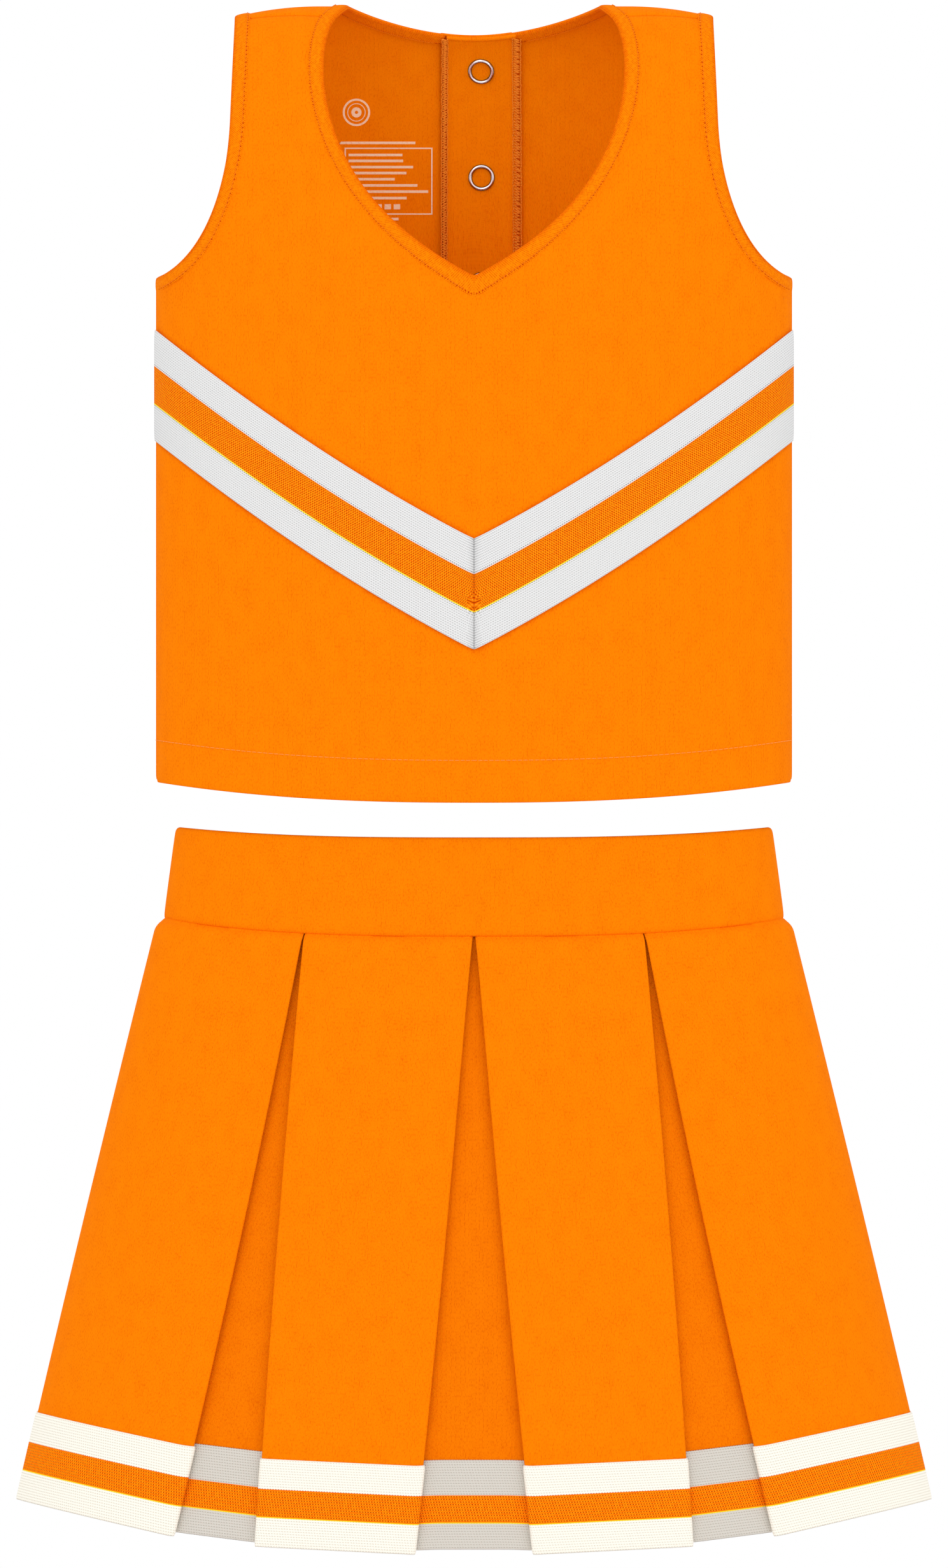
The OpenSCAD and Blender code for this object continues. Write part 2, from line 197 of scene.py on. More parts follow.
def lengths(points):
    """Length of the line through points, up to each of them."""
    total = [0]
    for a, b in zip(points, points[1:]):
        total.append(total[-1] + (b - a).length)
    return total


def read(table, place):
    i = max(0, min(int(place), len(table) - 2))
    return mix(table[i], table[i + 1], place - i)


def place_at(table, distance):
    """Place in a table of lengths that a distance along it reaches."""
    i = max(1, bisect_left(table, min(distance, table[-1])))
    return i - 1 + (distance - table[i - 1]) / (table[i] - table[i - 1])


def profile_at(points, share):
    """Point on straight lines between evenly read points, at a share of the way through them."""
    i = share * (len(points) - 1)
    ends = points[int(i)], points[min(int(i) + 1, len(points) - 1)]
    return tuple(mix(a, b, i - int(i)) for a, b in zip(*ends))


CHEST_GIRTH = lengths([oval(HALF_CHEST, HALF_DEPTH, turn) for turn in range(91)])
STRAP_CLIMB = lengths([shell(turn_at(70 * MM), climb) for climb in range(181)])


def flat_on_shell(turn, climb):
    """Distance round the cloth from the centre, and up it from the front underarm."""
    if climb < 0:
        up = climb * DEGREE
    else:
        up = read(STRAP_CLIMB, min(180, climb)) + max(0, climb - 180) * DEGREE
    return math.copysign(read(CHEST_GIRTH, abs(turn)), turn), up


def seam_dip(distance, depth=0.6 * MM, reach=1.8 * MM):
    """How deep the cloth rolls into a seam at a distance from it."""
    return -depth * max(0, 1 - abs(distance) / reach) ** 2


def hem_turn(q):
    """Height above the hem and depth from the outside, at q along the cloth from the fold."""
    if q >= HEM_BEND:
        return q - HEM_BEND + HEM_FOLD, 0
    if q <= -HEM_BEND:
        return -q - HEM_BEND + HEM_FOLD, -2 * HEM_FOLD
    return HEM_FOLD * (1 - math.cos(q / HEM_FOLD)), HEM_FOLD * (math.sin(q / HEM_FOLD) - 1)


def lay(bm, columns, rows, place):
    """Lays a grid of cloth. place(s, t) gives the corner's place and its place on the flat cloth."""
    flat = bm.loops.layers.uv.get("cloth") or bm.loops.layers.uv.new("cloth")
    for corner in bmesh.ops.create_grid(bm, x_segments=columns, y_segments=rows, size=0.5)["verts"]:
        corner.co, on_cloth = place(corner.co.x + 0.5, corner.co.y + 0.5)
        for loop in corner.link_loops:
            loop[flat].uv = on_cloth


def finish_piece(name, bm, material, thickness=0, soften=1, inside=None):
    """Makes an object of bm, with a wall behind its face if thickness is given."""
    bmesh.ops.remove_doubles(bm, verts=bm.verts, dist=0.002 * MM)
    mesh = bpy.data.meshes.new(name)
    bm.to_mesh(mesh)
    bm.free()
    mesh.shade_smooth()
    mesh.materials.append(material)
    piece = bpy.data.objects.new(name, mesh)
    bpy.context.scene.collection.objects.link(piece)
    if thickness:
        wall = piece.modifiers.new("wall", "SOLIDIFY")
        wall.thickness = thickness
        wall.offset = -1
        if inside:
            mesh.materials.append(inside)
            wall.material_offset = 1
    if soften:
        soft = piece.modifiers.new("soft", "SUBSURF")
        soft.levels = soft.render_levels = soften
    return piece


def one_sheet(name, columns, rows, place, material, thickness, inside=None):
    """A piece made of one grid of cloth."""
    bm = bmesh.new()
    lay(bm, columns, rows, place)
    return finish_piece(name, bm, material, thickness, inside=inside)


def on_body(piece, body, slot, *nodes):
    """Lets a piece ride on a body, in place of any CAD nodes named. slot is not used."""
    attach(piece, body)
    if nodes:
        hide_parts(*nodes)


class Amount:
    """A shader socket that sums can be written with."""

    def __init__(self, nodes, socket=None):
        self.nodes, self.socket = nodes, socket

    def add(self, kind, settings=None, inputs=None, output=0):
        """Adds a node of that kind, with its settings and the values or links of its sockets."""
        node = self.nodes.new(kind)
        for name, value in (settings or {}).items():
            setattr(node, name, value)
        for name, value in (inputs or {}).items():
            if isinstance(value, Amount):
                self.nodes.id_data.links.new(node.inputs[name], value.socket)
            else:
                node.inputs[name].default_value = value
        return Amount(self.nodes, node.outputs[output] if node.outputs else None)

    def maths(self, operation, first, second=0.0):
        return self.add("ShaderNodeMath", {"operation": operation}, {0: first, 1: second})

    def __add__(self, other):
        return self.maths("ADD", self, other)

    def __sub__(self, other):
        return self.maths("SUBTRACT", self, other)

    def __rsub__(self, other):
        return self.maths("SUBTRACT", other, self)

    def __mul__(self, other):
        return self.maths("MULTIPLY", self, other)

    __radd__, __rmul__ = __add__, __mul__

    def __truediv__(self, other):
        return self.maths("DIVIDE", self, other)

    def __mod__(self, other):
        return self.maths("FLOORED_MODULO", self, other)

    def __pow__(self, other):
        return self.maths("POWER", self, other)

    def __abs__(self):
        return self.maths("ABSOLUTE", self)

    def floor(self):
        return self.maths("FLOOR", self)

    def rise(self, low, high):
        """0 up to low, 1 from high on, and smooth between."""
        smooth = {"interpolation_type": "SMOOTHSTEP"}
        return self.add("ShaderNodeMapRange", smooth, {0: self, 1: low, 2: high})

    def between(self, low, high):
        """The colour low where this is 0, high where it is 1."""
        return self.add("ShaderNodeMix", {"data_type": "RGBA"}, {0: self, 6: low, 7: high}, 2)

    def noise(self, x, y, detail=2.0):
        """Cloudy noise, of about one blob in each unit of x and of y."""
        place = self.add("ShaderNodeCombineXYZ", None, {0: x, 1: y})
        return self.add("ShaderNodeTexNoise", None, {"Vector": place, "Scale": 1.0, "Detail": detail})


def dye(red, green, blue):
    """A colour given as on a dye card, from 0 to 255."""
    shares = (c / 255 for c in (red, green, blue))
    return *(c / 12.92 if c < 0.0405 else ((c + 0.055) / 1.055) ** 2.4 for c in shares), 1


def new_material(name):
    material = bpy.data.materials.new(name)
    material.use_nodes = True
    material.node_tree.nodes.clear()
    return material, Amount(material.node_tree.nodes)


def finish_material(colour, **sockets):
    """Ends a material in one shader of that colour, with the given sockets set."""
    inputs = {name.replace("_", " "): value for name, value in sockets.items()}
    shader = colour.add("ShaderNodeBsdfPrincipled", None, {"Base Color": colour, **inputs})
    shader.add("ShaderNodeOutputMaterial", None, {0: shader})


def cloth_material(name):
    """A new material, and the place on the flat cloth in millimetres, along and up."""
    material, start = new_material(name)
    flat = start.add("ShaderNodeUVMap", {"uv_map": "cloth"})
    across = start.add("ShaderNodeSeparateXYZ", None, {0: flat}, 0) / MM
    up = start.add("ShaderNodeSeparateXYZ", None, {0: flat}, 1) / MM
    return material, across, up


def finish_cloth(colour, height, depth, roughness=0.95, gloss=0.02):
    """Ends a cloth material in its shader, with a relief that deep."""
    normal = colour.add("ShaderNodeBump", None, {"Height": height, "Distance": depth, "Strength": 1.0})
    finish_material(colour, Normal=normal, Roughness=roughness, Specular_IOR_Level=gloss)


def knit(name, face, gap, wale=0.48, course=0.42, depth=0.07 * MM, pressed=None):
    """Fine knit: columns of loops, with darker gaps between them that come and go. pressed, if given,
    gives the share of painted shadow on the cloth, from the place on it."""
    material, across, up = cloth_material(name)
    leg = abs(across / wale % 1 - 0.5) * 2
    loop = abs((up / course + leg * 0.5) % 1 - 0.5) * 2
    hollow = leg.rise(0.25, 1.0) * (0.45 + loop.rise(0.1, 0.9) * 0.55)
    dot = across.noise(across * 1.9, up * 1.0, 1.0).rise(0.42, 0.72)
    streak = across.noise(across * 1.4 + 9, up * 0.22).rise(0.35, 0.75)
    cloud = across.noise(across * 0.16 + 40, up * 0.1)
    tint = hollow * (0.16 + dot * 0.5 + streak * 0.3) + dot * 0.16 + (cloud - 0.5) * 0.5
    # Painted shadow: the knit turns towards its gap colour by the share that pressed gives.
    if pressed:
        tint = tint + pressed(across)
    colour = tint.rise(-0.1, 1.1).between(face, gap)
    finish_cloth(colour, (1 - leg ** 2) * (0.7 + loop * 0.3), depth)
    return material


BODY_DYES = dye(252, 131, 2), dye(226, 86, 0)
body_knit = knit("body_knit", *BODY_DYES)
# Inside of the knit: the body knit dyed a little lighter, as painted light that lifts the shaded inside of the top.
knit_inside_painted_light = knit("knit_inside_painted_light", dye(255, 139, 2), dye(230, 92, 0))

V_CLIMB = neck(0, RAW_EDGE)[1]
CHEST_HEIGHT = (V_CLIMB - hem_climb(0)) * DEGREE
SHOULDER_LAP = 2.03
CHEST_ROWS = 0.66


def hem_row(q, x, top_climb):
    """Climb and depth of the front's cloth at q above the hem fold, below a row at top_climb."""
    height, out = hem_turn(q)
    return mix(hem_climb(x), top_climb, height / CHEST_HEIGHT), out


def shell_corner(turn, climb, out, drop=0):
    """A corner of the top's cloth, rolled into the side and shoulder seams."""
    around, up = flat_on_shell(turn, climb)
    x = abs(HALF_CHEST * power(sin(turn), 2 / SQUARENESS))
    seam = read(STRAP_CLIMB, mix(*SEAM_CLIMB, (x - 51 * MM) / (37.5 * MM)))
    roll = min(seam_dip(CHEST_GIRTH[90] - abs(around)), seam_dip(up - seam, 0.8 * MM))
    return on_shell(turn, climb, out + roll), (around, up + drop)


def front_half(side):
    top_q = CHEST_HEIGHT - HEM_FOLD + HEM_BEND

    def place(s, t):
        s = s if side > 0 else 1 - s
        if t > CHEST_ROWS:
            u = SHOULDER_LAP * (t - CHEST_ROWS) / (1 - CHEST_ROWS)
            inner, outer = neck(u, RAW_EDGE), armhole(u, RAW_EDGE)
            return shell_corner(side * mix(inner[0], outer[0], s), mix(inner[1], outer[1], s), 0)
        q = along(t, (0, -HEM_UP), (0.1, -HEM_BEND), (0.15, HEM_BEND), (CHEST_ROWS, top_q))
        turn = 90 * s
        x = HALF_CHEST * power(sin(turn), 2 / SQUARENESS)
        climb, out = hem_row(q, x, mix(V_CLIMB, armhole(0, RAW_EDGE)[1], s))
        return shell_corner(side * turn, climb, out, min(0, 2 * q))
    return place


bm = bmesh.new()
lay(bm, 28, 88, front_half(1))
lay(bm, 28, 88, front_half(-1))
front = finish_piece("front_cloth", bm, body_knit, KNIT, inside=knit_inside_painted_light)
on_body(front, "top", "body_knit", "front_panel")


# ---- Chevron: two lengths of flat knit tape, white with an orange stripe, mitred at centre front
# and sewn flat across the chest from side seam to side seam.

CHEVRON_HEIGHT = 41.2 * MM
CHEVRON_SIDE_Z = 185.5 * MM
CHEVRON_POINT_Z = 108 * MM
CHEVRON_WIDTH = 34 * MM
CHEVRON_BEND = 0.22
TAPE = 0.9 * MM


def trim_tape(name, stripe, white, white_hole, mitre=False, along_pitch=1.0, row_pitch=0.98):
    """Flat knit tape with staggered holes. stripe is the orange band, from and to in millimetres."""
    lean = 0.5 if mitre else 0.23
    side_hole = dye(112, 104, 100) if mitre else dye(186, 172, 150)
    material, across, up = cloth_material(name)
    row = (up / row_pitch).floor()
    off_row = (up / row_pitch % 1 - 0.5) * row_pitch
    wander = across.noise(across * 0.25, row * 7.3)
    place = (across + off_row * 0.4) / along_pitch + row * lean + wander * 0.3
    off_hole = (place % 1 - 0.5) * along_pitch
    off_loop = ((place + 0.5) % 1 - 0.5) * along_pitch
    hole = 1 - ((off_hole * 0.75) ** 2 + (off_row * 1.25) ** 2).rise(0.008, 0.075)
    loop = 1 - ((off_loop * 0.8) ** 2 + (off_row * 1.3) ** 2).rise(0.005, 0.09)
    cloud = across.noise(across * 0.6, up * 0.9)
    middle, half = (stripe[0] + stripe[1]) / 2, (stripe[1] - stripe[0]) / 2
    off_middle = abs(up - middle)
    in_stripe = 1 - off_middle.rise(half - 0.06, half + 0.06)
    low_line = 1 - abs(up - stripe[0] - 0.1).rise(0.12, 0.24)
    high_line = 1 - abs(up - stripe[1] + 0.05).rise(0.1, 0.2)
    beside = 1 - off_middle.rise(half + 0.9, half + 1.0)
    plain = (hole * (0.45 + cloud * 0.3)).between(white, white_hole)
    plain = (hole * beside * 0.8).between(plain, side_hole)
    orange = (cloud.rise(0.3, 0.7)).between(dye(253, 131, 4), dye(248, 112, 2))
    # Painted highlight on the raised yarn loops between the holes of the orange stripe.
    orange = (loop * (0.5 + cloud * 0.5)).between(orange, dye(255, 176, 36))
    orange = (hole * (0.65 + cloud * 0.5)).between(orange, dye(172, 44, 0))
    colour = in_stripe.between(plain, orange)
    colour = low_line.between(colour, dye(255, 226, 50))
    colour = (high_line * (0.25 + hole * 0.6)).between(colour, dye(238, 84, 24))
    if mitre:
        # At the mitre: a dark line along the seam itself, and painted shade in the crease up to 2.4 mm either side
        # of it.
        place = across.add("ShaderNodeTexCoord", None, None, "Object")
        off_centre = abs(across.add("ShaderNodeSeparateXYZ", None, {0: place})) / MM
        mitre_line_and_shade = (1 - off_centre.rise(0.05, 0.45)) * 0.3 + (1 - off_centre.rise(0.2, 2.4)) * 0.14
        colour = mitre_line_and_shade.between(colour, in_stripe.between(dye(96, 96, 96), dye(176, 30, 0)))
    finish_cloth(colour, 1 - hole + loop * 0.4, 0.1 * MM)
    return material


def chevron_height(share):
    """Height of the tape's middle at a share of the way from the centre to the side seam."""
    return mix(CHEVRON_POINT_Z, CHEVRON_SIDE_Z, share * (1 - CHEVRON_BEND) + share ** 2 * CHEVRON_BEND)


def shadow_beside_chevron(value):
    """Share of painted shadow on the front's cloth close to the tape's edges."""
    place = value.add("ShaderNodeTexCoord", None, None, "Object")
    line = chevron_height(abs(value.add("ShaderNodeSeparateXYZ", None, {0: place}, 0)) / HALF_CHEST)
    off_edge = abs(value.add("ShaderNodeSeparateXYZ", None, {0: place}, 2) - line) - CHEVRON_HEIGHT / 2
    return (1 - (off_edge / MM).rise(-0.5, 3.2)) ** 1.5 * 0.5


# The front again, with painted shadow darkening the cloth beside the tape's edges.
front.data.materials[0] = knit("front_knit_painted_shadow", *BODY_DYES, pressed=shadow_beside_chevron)
chevron_tape = trim_tape(
    "chevron_tape", (11.4, 23.0), dye(226, 226, 226), dye(176, 176, 176), True, 0.93, 0.77)


def chevron_line(turn):
    return chevron_height(abs(oval(1, 1, turn).x))


CHEVRON_LENGTH = lengths([
    Vector((read(CHEST_GIRTH, turn), chevron_line(turn))) for turn in range(91)])


def chevron_half(side):
    def place(s, t):
        turn = 90 * along(s if side > 0 else 1 - s, (0, -0.0006), (1 / 44, 0.004), (43 / 44, 0.996), (1, 1))
        t = along(t, (0, 0), (1 / 16, 0.008), (15 / 16, 0.992), (1, 1))
        rise = CHEVRON_HEIGHT * (t - 0.5)
        slope = math.atan2(chevron_line(turn + 0.5) - chevron_line(turn - 0.5),
                           read(CHEST_GIRTH, min(90, turn + 0.5)) - read(CHEST_GIRTH, max(0, turn - 0.5)))
        edge = min(t, 1 - t) * CHEVRON_WIDTH
        out = TAPE + seam_dip(edge, 0.3 * MM, 0.9 * MM)
        out += seam_dip(read(CHEST_GIRTH, turn), 0.25 * MM, 1.2 * MM)
        out += seam_dip(CHEST_GIRTH[90] - read(CHEST_GIRTH, turn), 0.5 * MM)
        climb = (chevron_line(turn) + rise - UNDERARM_Z) / DEGREE
        flat = read(CHEVRON_LENGTH, max(0, turn)) + rise * math.sin(slope), t * CHEVRON_WIDTH
        return on_shell(side * turn, climb, out), flat
    return place


for side, word in ((1, "right"), (-1, "left")):
    tape = one_sheet(f"chevron_{word}", 44, 16, chevron_half(side), chevron_tape, 0.8 * MM)
    on_body(tape, "top", "trim_tape", f"chevron_tape_{word}")


# ---- Back of the top: two halves of the same knit, over the shoulders and down to the hem. The
# left half laps over the right one.

LEFT_EDGE_X = 11.4 * MM
RIGHT_EDGE_X = 14.9 * MM
NECK_ROWS = 0.22
BACK_MEET = 0.5


def back_half(side, inner_x):
    corner = neck_at(inner_x)
    edge_turn = turn_at(inner_x)
    top_q = CHEST_HEIGHT - HEM_FOLD + HEM_BEND

    def place(s, t):
        s = s if side > 0 else 1 - s
        if t < BACK_MEET:
            u = along(t, (0, 2), (NECK_ROWS, corner))
            inner = neck(u, RAW_EDGE)
            if t > NECK_ROWS:
                start = neck(corner, RAW_EDGE)
                share = (t - NECK_ROWS) / (BACK_MEET - NECK_ROWS)
                inner = mix(start[0], edge_turn, min(1, 4 * share)), mix(start[1], 181, share)
            outer = armhole(along(t, (0, 2), (BACK_MEET, 6)), RAW_EDGE)
            return shell_corner(side * mix(inner[0], outer[0], s), mix(inner[1], outer[1], s), 0)
        q = along(t, (BACK_MEET, top_q), (0.85, HEM_BEND), (0.9, -HEM_BEND), (1, -HEM_UP))
        turn = mix(edge_turn, 90, s)
        x = HALF_CHEST * power(sin(turn), 2 / SQUARENESS)
        climb, out = hem_row(q, x, mix(-1, armhole(0, RAW_EDGE)[1], s))
        return shell_corner(side * turn, 180 - climb, out, min(0, 2 * q))
    return place


back_left = one_sheet("back_left_cloth", 30, 96, back_half(-1, LEFT_EDGE_X), body_knit, KNIT, knit_inside_painted_light)
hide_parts("back_panel_left", "back_flap_left")
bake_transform(back_left)

back_right = one_sheet("back_right_cloth", 30, 96, back_half(1, RIGHT_EDGE_X), body_knit, KNIT, knit_inside_painted_light)
on_body(back_right, "top", "body_knit", "back_panel_right")


# ---- Care print: plain generic marks heat-printed in cream on the inside of the left back, a
# ring above a frame with bars. It has no letters and no signs.

print_material, ink = new_material("care_print")
ink_place = ink.add("ShaderNodeTexCoord", None, None, "Object")
worn = ink.add("ShaderNodeTexNoise", None, {"Vector": ink_place, "Scale": 1500.0}).rise(0.5, 0.8)
finish_material(worn.between(dye(255, 228, 196), dye(252, 200, 150)), Roughness=0.9, Specular_IOR_Level=0.02)

INSIDE = -KNIT - 0.04 * MM
RING_X, RING_Z = -43.7 * MM, 287.2 * MM


def printed(x, z):
    return on_shell(turn_at(x), back_climb(x, z), INSIDE), (x, z)


def bar(bm, x, z, width, height, columns=12):
    lay(bm, columns, 1, lambda s, t: printed(x + width * s, z + height * t))


bm = bmesh.new()
for radius, line in ((5.1 * MM, 0.75 * MM), (3.4 * MM, 0.3 * MM), (1.9 * MM, 1.3 * MM)):
    lay(bm, 48, 1, lambda s, t: printed(
        RING_X + mix(radius - line, radius, t) * sin(-360 * s),
        RING_Z + mix(radius - line, radius, t) * cos(-360 * s)))
for x, z, width, height in (
        (-48.1, 273.6, 32.7, 0.5), (-48.1, 249.2, 32.7, 0.5), (-48.1, 249.2, 0.5, 24.9), (-15.9, 249.2, 0.5, 24.9)):
    bar(bm, x * MM, z * MM, width * MM, height * MM)
for x, z, width in (
        (-46.6, 270.9, 20), (-46.6, 268.7, 20.3), (-46.6, 266.4, 24), (-46.6, 264.2, 21.5), (-46.6, 261.9, 17.2),
        (-46.6, 259.6, 25.6), (-46.6, 257.3, 29.6), (-46.6, 254.9, 21.6), (-50, 275.4, 28.2), (-34, 247.1, 6)):
    bar(bm, x * MM, z * MM, width * MM, 0.95 * MM)
for x in (-40, -36.6, -33.2, -29.8):
    bar(bm, x * MM, 251.2 * MM, 2.4 * MM, 1.9 * MM)
care_print = finish_piece("care_print", bm, print_material, soften=0)
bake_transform(care_print)


# ---- Snap placket: a band under the opening on the right half, and a band on the left half that
# laps over it. Both are doubled knit, overlocked to the backs along their long edges.

UNDER_BAND = (-10.7 * MM, 16.3 * MM)
OVER_BAND = (-12.7 * MM, 14.4 * MM)
UNDER_BAND_THICK, OVER_BAND_THICK = 1.7 * MM, 1.5 * MM
UNDER_BAND_DROP, OVER_BAND_DROP = -0.8, 0.3


def band(left, right, outside, thickness, lower):
    """A doubled band down the centre back, rounded over at its sides, its top and its bottom."""
    def place(s, t):
        x = mix(left, right, s)
        top = neck(neck_at(abs(x)))[1] + lower
        climb = along(t, (0, top), (0.42, 180), (1, 180 - hem_climb(x)))
        side = min(s, 1 - s) * (right - left)
        end = min(climb - top, 180 - hem_climb(x) - climb) * DEGREE
        out = outside + seam_dip(min(side, end), thickness * 0.45, 1.2 * MM)
        return on_shell(turn_at(x), climb, out), (x, -climb * DEGREE)
    return place


under_place = band(*UNDER_BAND, -0.7 * MM, UNDER_BAND_THICK, UNDER_BAND_DROP)
under_band = one_sheet("under_band", 22, 90, under_place, body_knit, UNDER_BAND_THICK, knit_inside_painted_light)
on_body(under_band, "top", "body_knit", "under_placket")

over_place = band(*OVER_BAND, 1.6 * MM, OVER_BAND_THICK, OVER_BAND_DROP)
over_band = one_sheet("over_band", 22, 90, over_place, body_knit, OVER_BAND_THICK)
on_body(over_band, "back_flap", "body_knit", "over_placket")


# ---- Overlocked seams: thread looped over the raw edges of the side seams and of the placket
# bands, on the inside. The threads run in slanted loops from edge to edge.


def thread_material(name, light, dark, plies=0.55):
    """Spun thread of twisted plies, with the twist running round it."""
    material, along_thread, around = cloth_material(name)
    ply = abs((along_thread / plies + around) % 1 - 0.5) * 2
    grain = along_thread.noise(along_thread * 4, around * 3)
    colour = (ply.rise(0.35, 1) * 0.7 + (grain - 0.5) * 0.8).rise(0, 1).between(light, dark)
    finish_cloth(colour, 1 - ply, 0.06 * MM, 0.6, 0.1)
    return material


overlock_thread = thread_material("overlock_thread", dye(255, 156, 44), dye(216, 94, 6))


def thread(bm, centres, radii, sides=6):
    """One length of thread through centres, each with its radius."""
    table = lengths(centres)
    side = (centres[1] - centres[0]).orthogonal()
    frames = []
    for before, after in zip(centres[:1] + centres, centres[1:] + centres[-1:]):
        way = (after - before).normalized()
        side = (side - side.dot(way) * way).normalized()
        frames.append((side, way.cross(side)))

    def place(s, t):
        i = round(t * (len(centres) - 1))
        a, b = frames[i]
        return centres[i] + radii[i] * (a * cos(360 * s) + b * sin(360 * s)), (table[i], s * MM)
    lay(bm, sides, len(centres) - 1, place)


def overlock(bm, place, length, width, pitch, radius=0.2 * MM, mess=0.2):
    """Looped threads over a strip. place(d, w, out) is d along it, w across it and out from it."""
    shake = random.Random(round(length / MM))
    zigzag, chains = [], ([], [])
    for i in range(int(length / pitch)):
        corners = (0, 0), (0.8 + shake.uniform(-mess, mess), 1 + shake.uniform(-0.1, 0.05)), (1, 0)
        for (d0, w0), (d1, w1) in zip(corners, corners[1:]):
            zigzag += [((i + mix(d0, d1, k)) * pitch, mix(w0, w1, k) * width, radius * rise)
                       for k, rise in ((0.05, 0.2), (0.3, 1.1), (0.7, 1.1))]
        for w, chain in enumerate(chains):
            swing = shake.uniform(-0.5, 0.5) * radius
            chain += [((i + k) * pitch, w * width + swing, radius * rise)
                      for k, rise in ((0, 0.1), (0.3, 1), (0.7, 1))]
    for points in (zigzag, *chains):
        thread(bm, [place(*point) for point in points], [radius] * len(points))


BACK_STEPS = 400


def down_back(x, depth):
    """Place function and length of a strip down the back, at a depth inside and x from the centre."""
    top = neck(neck_at(abs(x)))[1] + 1
    stop = 180 - hem_climb(x) - 1
    table = lengths([shell(turn_at(x), mix(top, stop, i / BACK_STEPS)) for i in range(BACK_STEPS + 1)])

    def place(d, w, out):
        return on_shell(turn_at(x + w), mix(top, stop, place_at(table, d) / BACK_STEPS), -depth - out)
    return place, table[-1]


bm = bmesh.new()
for x, width, pitch, mess in ((-12.1 * MM, 2.1 * MM, 0.94 * MM, 0.15), (14.6 * MM, 3.0 * MM, 1.05 * MM, 0.45)):
    place, length = down_back(x, 2.5 * MM)
    overlock(bm, place, length, width, pitch, 0.24 * MM, mess)
placket_overlock = finish_piece("placket_overlock", bm, overlock_thread, soften=0)
on_body(placket_overlock, "top", "overlock_thread")

on_front = []
for side, word in ((1, "right"), (-1, "left")):
    low = hem_climb(HALF_CHEST) + 1.5
    high = armhole(0, 6 * MM)[1]

    def strip(s, t):
        turn, climb = mix(84.5, 91.5, s if side > 0 else 1 - s), mix(high + 2.9, low - 1, t)
        return on_shell(side * turn, climb, -KNIT - 0.1 * MM), (s * 8 * MM, t * (high - low) * DEGREE)

    def seam_place(d, w, out):
        return on_shell(side * (84.2 + w / MM / 1.25), low + 0.5 + d / DEGREE, -KNIT - 1.3 * MM - out)

    allowance = one_sheet(f"side_allowance_{word}", 4, 60, strip, body_knit, 1.1 * MM)
    bm = bmesh.new()
    overlock(bm, seam_place, (high - low - 1) * DEGREE, 4 * MM, 1.9 * MM, 0.22 * MM)
    threads = finish_piece(f"side_overlock_{word}", bm, overlock_thread, soften=0)
    on_body(allowance, "top", "overlock_thread", f"side_seam_{word}")
    on_body(threads, "top", "overlock_thread")
    on_front += [allowance, threads]


# ---- Bindings: strips of fine rib knit, 6 mm wide, folded over the neck and armhole edges and
# topstitched close to their inner edge. The neck binding is mitred at the V.

BINDING = (
    (5.6, -1.6), (5.2, -1.78), (4.0, -1.82), (2.4, -1.84), (1.1, -1.76), (0.4, -1.45), (0.05, -0.95),
    (0.0, -0.45), (0.3, 0.14), (0.9, 0.44), (2.0, 0.56), (3.6, 0.56), (4.9, 0.44), (5.5, 0.28), (5.85, 0.08),
    (6.1, -0.2),
)


def rib(name, pitch):
    """Fine rib knit along a binding, with painted shade where it rolls over and at its inner edge, and a row of
    needle holes.
    """
    material, along_edge, inset = cloth_material(name)
    depth = abs(inset)
    slant = (along_edge + depth * 0.35) / 0.5 % 1
    row = (depth / 0.46).floor()
    speck_place = along_edge / 0.74 + row % 2 * 0.5
    off_speck = ((speck_place % 1 - 0.5) * 0.74) ** 2 + ((depth / 0.46 % 1 - 0.5) * 0.6) ** 2
    speck = 1 - off_speck.rise(0.01, 0.07)
    groove = abs(slant - 0.5) * 2
    cloud = along_edge.noise(along_edge * 0.8, depth * 0.8)
    uneven = along_edge.noise((along_edge / pitch).floor() * 3.7, depth * 0.1, 0.0)
    off_stitch = ((along_edge / pitch + 0.5 + uneven * 0.3) % 1 - 0.5) * pitch
    hole = 1 - (off_stitch ** 2 + (depth - 5.05 - uneven * 0.3) ** 2).rise(0.015, 0.13)
    # Painted shade: darker towards the rolled edge, and a little at the inner edge where it meets the body.
    rolled = (1 - depth.rise(0.2, 2.2)) * 0.3 + depth.rise(5.6, 5.95) * 0.08
    tint = speck * 0.62 * (0.3 + cloud.rise(0.3, 0.7)) + groove * 0.14 + (cloud - 0.5) * 0.3 + rolled + 0.06
    colour = tint.rise(-0.05, 1.05).between(dye(255, 138, 4), dye(222, 78, 0))
    colour = (hole * (0.5 + uneven)).between(colour, dye(206, 58, 0))
    finish_cloth(colour, 1 - speck * 0.6 - groove * 0.4 - hole, 0.12 * MM)
    return material


NECK_PITCH = 1.15 * MM
ARMHOLE_PITCH = 1.65 * MM
neck_rib = rib("neck_rib", NECK_PITCH / MM)
armhole_rib = rib("armhole_rib", ARMHOLE_PITCH / MM)
stitch_thread = thread_material("stitch_thread", dye(255, 142, 14), dye(250, 120, 0))


EDGE_STEPS = 300


def edge_table(edge, start, stop):
    """Length along an edge from start, at each of its steps to stop."""
    return lengths([on_shell(*edge(mix(start, stop, i / EDGE_STEPS))) for i in range(EDGE_STEPS + 1)])


